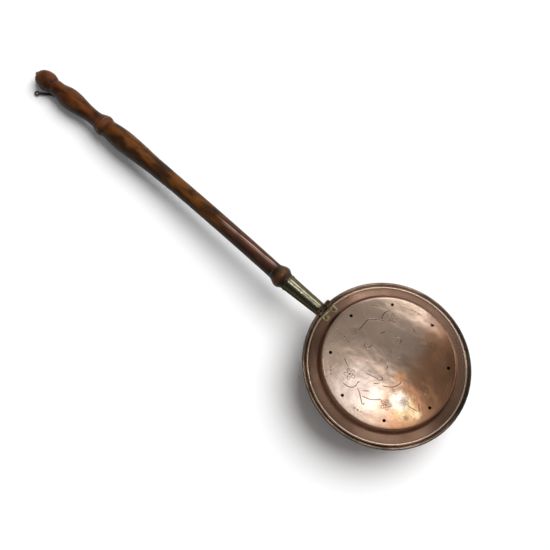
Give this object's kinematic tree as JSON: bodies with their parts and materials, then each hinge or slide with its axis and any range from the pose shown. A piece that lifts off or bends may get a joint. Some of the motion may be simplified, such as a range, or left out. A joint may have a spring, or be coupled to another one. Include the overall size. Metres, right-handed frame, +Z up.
{
  "type": "bed warming pan",
  "caption": "Lidded copper bed warming pan: round pan with hinged, pierced lid, riveted brass socket, long turned wooden handle and an iron hanging link.",
  "frame": {"origin": "centre of the pan's flat base, on the floor", "axes": "+Z up, +X from the pan along the handle, +Y to the left of the handle as seen by someone at the pan looking along it"},
  "size_m": [1.0723, 0.315, 0.114],
  "materials": {
    "pan_copper": "aged copper with a dark brown patina",
    "lid_copper": "worn polished copper, brown in the hollows",
    "rivet_copper": "dull hammered copper",
    "socket_brass": "dark olive aged brass",
    "hinge_brass": "yellow aged brass",
    "handle_wood": "dark turned fruitwood with an old shellac polish",
    "wire_iron": "plain iron wire",
    "dark_iron": "dark forged iron"
  },
  "bodies": {
    "pan": {"pan_bowl": "pan_copper", "pan_rim_wire": "wire_iron", "socket_flange": "socket_brass", "flange_rivets": "rivet_copper", "flange_rivet_burrs": "rivet_copper", "socket_tube": "socket_brass", "socket_ring": "socket_brass", "socket_nails": "dark_iron", "turned_handle": "handle_wood", "hinge_pin": "dark_iron", "hanger_pin": "dark_iron", "hanger_washer": "dark_iron"},
    "lid": {"lid_shell": "lid_copper", "lid_edge_wire": "wire_iron", "lid_hinge_leaf": "hinge_brass", "leaf_rivets": "hinge_brass", "leaf_rivet_burrs": "rivet_copper"},
    "link": {"hanging_link": "dark_iron"}
  },
  "joints": [
    {"name": "lid_hinge", "type": "hinge", "parent": "pan", "child": "lid", "pos_m": [0.1573, 0, 0.0944], "axis": [0, 1, 0], "range_deg": [0, 170]},
    {"name": "link_swing", "type": "hinge", "parent": "pan", "child": "link", "pos_m": [0.86024, 0.005, 0.00418], "axis": [0, 0, 1], "range_deg": [0, 120]}
  ]
}
